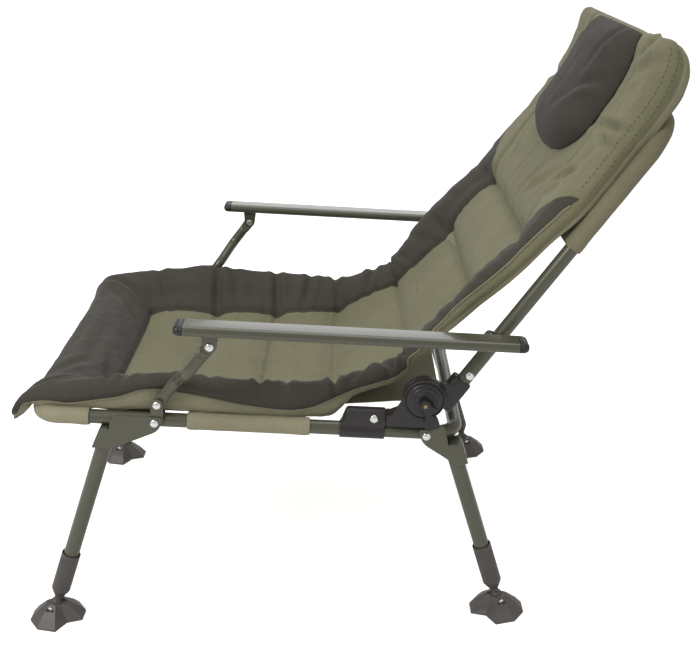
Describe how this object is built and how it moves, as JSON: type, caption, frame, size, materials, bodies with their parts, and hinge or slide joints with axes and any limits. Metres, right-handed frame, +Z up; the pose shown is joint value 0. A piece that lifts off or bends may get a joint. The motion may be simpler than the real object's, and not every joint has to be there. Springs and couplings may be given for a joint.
{
  "type": "reclining carp fishing chair",
  "caption": "Low reclining fishing chair: quilted mattress and head pillow on a tube frame with linked armrests and folding telescopic legs on swivel mud feet.",
  "frame": {"origin": "on the ground under the middle of the bounding box", "axes": "+Z up, -Y the way the sitter faces, +X the sitter's left"},
  "size_m": [0.712, 0.9924, 0.8949],
  "materials": {
    "frame_paint": "gloss dark olive powder coat",
    "sheet_paint": "satin dark olive powder coat",
    "dark_plastic": "warm dark brown moulding",
    "black_plastic": "black moulding",
    "bright_steel": "plated",
    "inner_leg": "drawn tube",
    "olive_fabric": "plain woven polyester",
    "pad_fabric": "padded woven polyester, dark brown border and olive centre"
  },
  "bodies": {
    "seat": {"seat_frame_front": "frame_paint", "seat_frame_rear": "frame_paint", "seat_sling": "olive_fabric", "seat_pad": "pad_fabric", "recliner_base_left": "dark_plastic", "recliner_base_right": "dark_plastic", "recliner_clamp_left": "dark_plastic", "recliner_clamp_right": "dark_plastic", "clamp_rivet_left": "bright_steel", "clamp_rivet_right": "bright_steel", "post_rivet_left": "bright_steel", "post_rivet_right": "bright_steel", "leg_bolt_front_left": "bright_steel", "leg_bolt_front_right": "bright_steel", "leg_bolt_rear_left": "bright_steel", "leg_bolt_rear_right": "bright_steel"},
    "backrest": {"back_frame": "frame_paint", "back_cover": "olive_fabric", "back_pad": "pad_fabric", "head_pillow": "pad_fabric", "recliner_socket_left": "dark_plastic", "recliner_socket_right": "dark_plastic", "socket_bolt_left": "bright_steel", "socket_bolt_right": "bright_steel"},
    "post_left": {"armrest_post_left": "frame_paint"},
    "armrest_left": {"armrest_left": "frame_paint", "armrest_cap_front_left": "black_plastic", "armrest_cap_rear_left": "black_plastic", "armrest_rivet_left": "bright_steel"},
    "lever_left": {"recliner_lever_left": "black_plastic"},
    "post_right": {"armrest_post_right": "frame_paint"},
    "armrest_right": {"armrest_right": "frame_paint", "armrest_cap_front_right": "black_plastic", "armrest_cap_rear_right": "black_plastic", "armrest_rivet_right": "bright_steel"},
    "lever_right": {"recliner_lever_right": "black_plastic"},
    "leg_front_left": {"leg_tube_front_left": "sheet_paint"},
    "leg_extension_front_left": {"leg_inner_front_left": "inner_leg", "leg_boot_front_left": "dark_plastic"},
    "foot_front_left": {"foot_front_left": "dark_plastic", "foot_pin_front_left": "bright_steel"},
    "leg_front_right": {"leg_tube_front_right": "sheet_paint"},
    "leg_extension_front_right": {"leg_inner_front_right": "inner_leg", "leg_boot_front_right": "dark_plastic"},
    "foot_front_right": {"foot_front_right": "dark_plastic", "foot_pin_front_right": "bright_steel"},
    "leg_rear_left": {"leg_tube_rear_left": "sheet_paint"},
    "leg_extension_rear_left": {"leg_inner_rear_left": "inner_leg", "leg_boot_rear_left": "dark_plastic"},
    "foot_rear_left": {"foot_rear_left": "dark_plastic", "foot_pin_rear_left": "bright_steel"},
    "leg_rear_right": {"leg_tube_rear_right": "sheet_paint"},
    "leg_extension_rear_right": {"leg_inner_rear_right": "inner_leg", "leg_boot_rear_right": "dark_plastic"},
    "foot_rear_right": {"foot_rear_right": "dark_plastic", "foot_pin_rear_right": "bright_steel"}
  },
  "joints": [
    {"name": "back_recline", "type": "hinge", "parent": "seat", "child": "backrest", "pos_m": [0, 0.14019, 0.3865], "axis": [-1, 0, 0], "range_deg": [-115, 25], "deforming": ["back_pad", "head_pillow"]},
    {"name": "armrest_post_left", "type": "hinge", "parent": "seat", "child": "post_left", "pos_m": [0.2877, -0.25931, 0.38], "axis": [-1, 0, 0], "range_deg": [-110, 24.5]},
    {"name": "armrest_level_left", "type": "hinge", "parent": "post_left", "child": "armrest_left", "pos_m": [0.331, -0.16781, 0.4895], "axis": [-1, 0, 0], "range_deg": [-24, 109]},
    {"name": "recliner_lever_left", "type": "hinge", "parent": "seat", "child": "lever_left", "pos_m": [0.3226, 0.14019, 0.3865], "axis": [1, 0, 0], "range_deg": [0, 60]},
    {"name": "armrest_post_right", "type": "hinge", "parent": "seat", "child": "post_right", "pos_m": [-0.2877, -0.25931, 0.38], "axis": [-1, 0, 0], "range_deg": [-110, 24.5]},
    {"name": "armrest_level_right", "type": "hinge", "parent": "post_right", "child": "armrest_right", "pos_m": [-0.331, -0.16781, 0.4895], "axis": [-1, 0, 0], "range_deg": [-24, 109]},
    {"name": "recliner_lever_right", "type": "hinge", "parent": "seat", "child": "lever_right", "pos_m": [-0.3226, 0.14019, 0.3865], "axis": [1, 0, 0], "range_deg": [0, 60]},
    {"name": "leg_fold_front_left", "type": "hinge", "parent": "seat", "child": "leg_front_left", "pos_m": [0.28, -0.26495, 0.35158], "axis": [1, 0, 0], "range_deg": [0, 100]},
    {"name": "leg_slide_front_left", "type": "slide", "parent": "leg_front_left", "child": "leg_extension_front_left", "axis": [0, 0.3502, 0.9367], "range_m": [-0.09, 0]},
    {"name": "foot_tilt_front_left", "type": "hinge", "parent": "leg_extension_front_left", "child": "foot_front_left", "pos_m": [0.28, -0.45394, 0.026], "axis": [0.9563, -0.2924, 0], "range_deg": [-20, 20]},
    {"name": "leg_fold_front_right", "type": "hinge", "parent": "seat", "child": "leg_front_right", "pos_m": [-0.28, -0.26495, 0.35158], "axis": [1, 0, 0], "range_deg": [0, 100]},
    {"name": "leg_slide_front_right", "type": "slide", "parent": "leg_front_right", "child": "leg_extension_front_right", "axis": [0, 0.3502, 0.9367], "range_m": [-0.09, 0]},
    {"name": "foot_tilt_front_right", "type": "hinge", "parent": "leg_extension_front_right", "child": "foot_front_right", "pos_m": [-0.28, -0.45394, 0.026], "axis": [0.9563, -0.2924, 0], "range_deg": [-20, 20]},
    {"name": "leg_fold_rear_left", "type": "hinge", "parent": "seat", "child": "leg_rear_left", "pos_m": [0.28, 0.14395, 0.32155], "axis": [1, 0, 0], "range_deg": [-102, 0]},
    {"name": "leg_slide_rear_left", "type": "slide", "parent": "leg_rear_left", "child": "leg_extension_rear_left", "axis": [0, 0.2672, -0.9636], "range_m": [0, 0.09]},
    {"name": "foot_tilt_rear_left", "type": "hinge", "parent": "leg_extension_rear_left", "child": "foot_rear_left", "pos_m": [0.28, 0.25912, 0.026], "axis": [0.9563, 0.2924, 0], "range_deg": [-20, 20]},
    {"name": "leg_fold_rear_right", "type": "hinge", "parent": "seat", "child": "leg_rear_right", "pos_m": [-0.28, 0.14395, 0.32155], "axis": [1, 0, 0], "range_deg": [-102, 0]},
    {"name": "leg_slide_rear_right", "type": "slide", "parent": "leg_rear_right", "child": "leg_extension_rear_right", "axis": [0, 0.2672, -0.9636], "range_m": [0, 0.09]},
    {"name": "foot_tilt_rear_right", "type": "hinge", "parent": "leg_extension_rear_right", "child": "foot_rear_right", "pos_m": [-0.28, 0.25912, 0.026], "axis": [0.9563, 0.2924, 0], "range_deg": [-20, 20]}
  ],
  "couplings": [
    {"joint": "armrest_post_left", "follows": "back_recline", "ratio": 0.9389},
    {"joint": "armrest_level_left", "follows": "back_recline", "ratio": -0.9305},
    {"joint": "armrest_post_right", "follows": "back_recline", "ratio": 0.9389},
    {"joint": "armrest_level_right", "follows": "back_recline", "ratio": -0.9305}
  ]
}
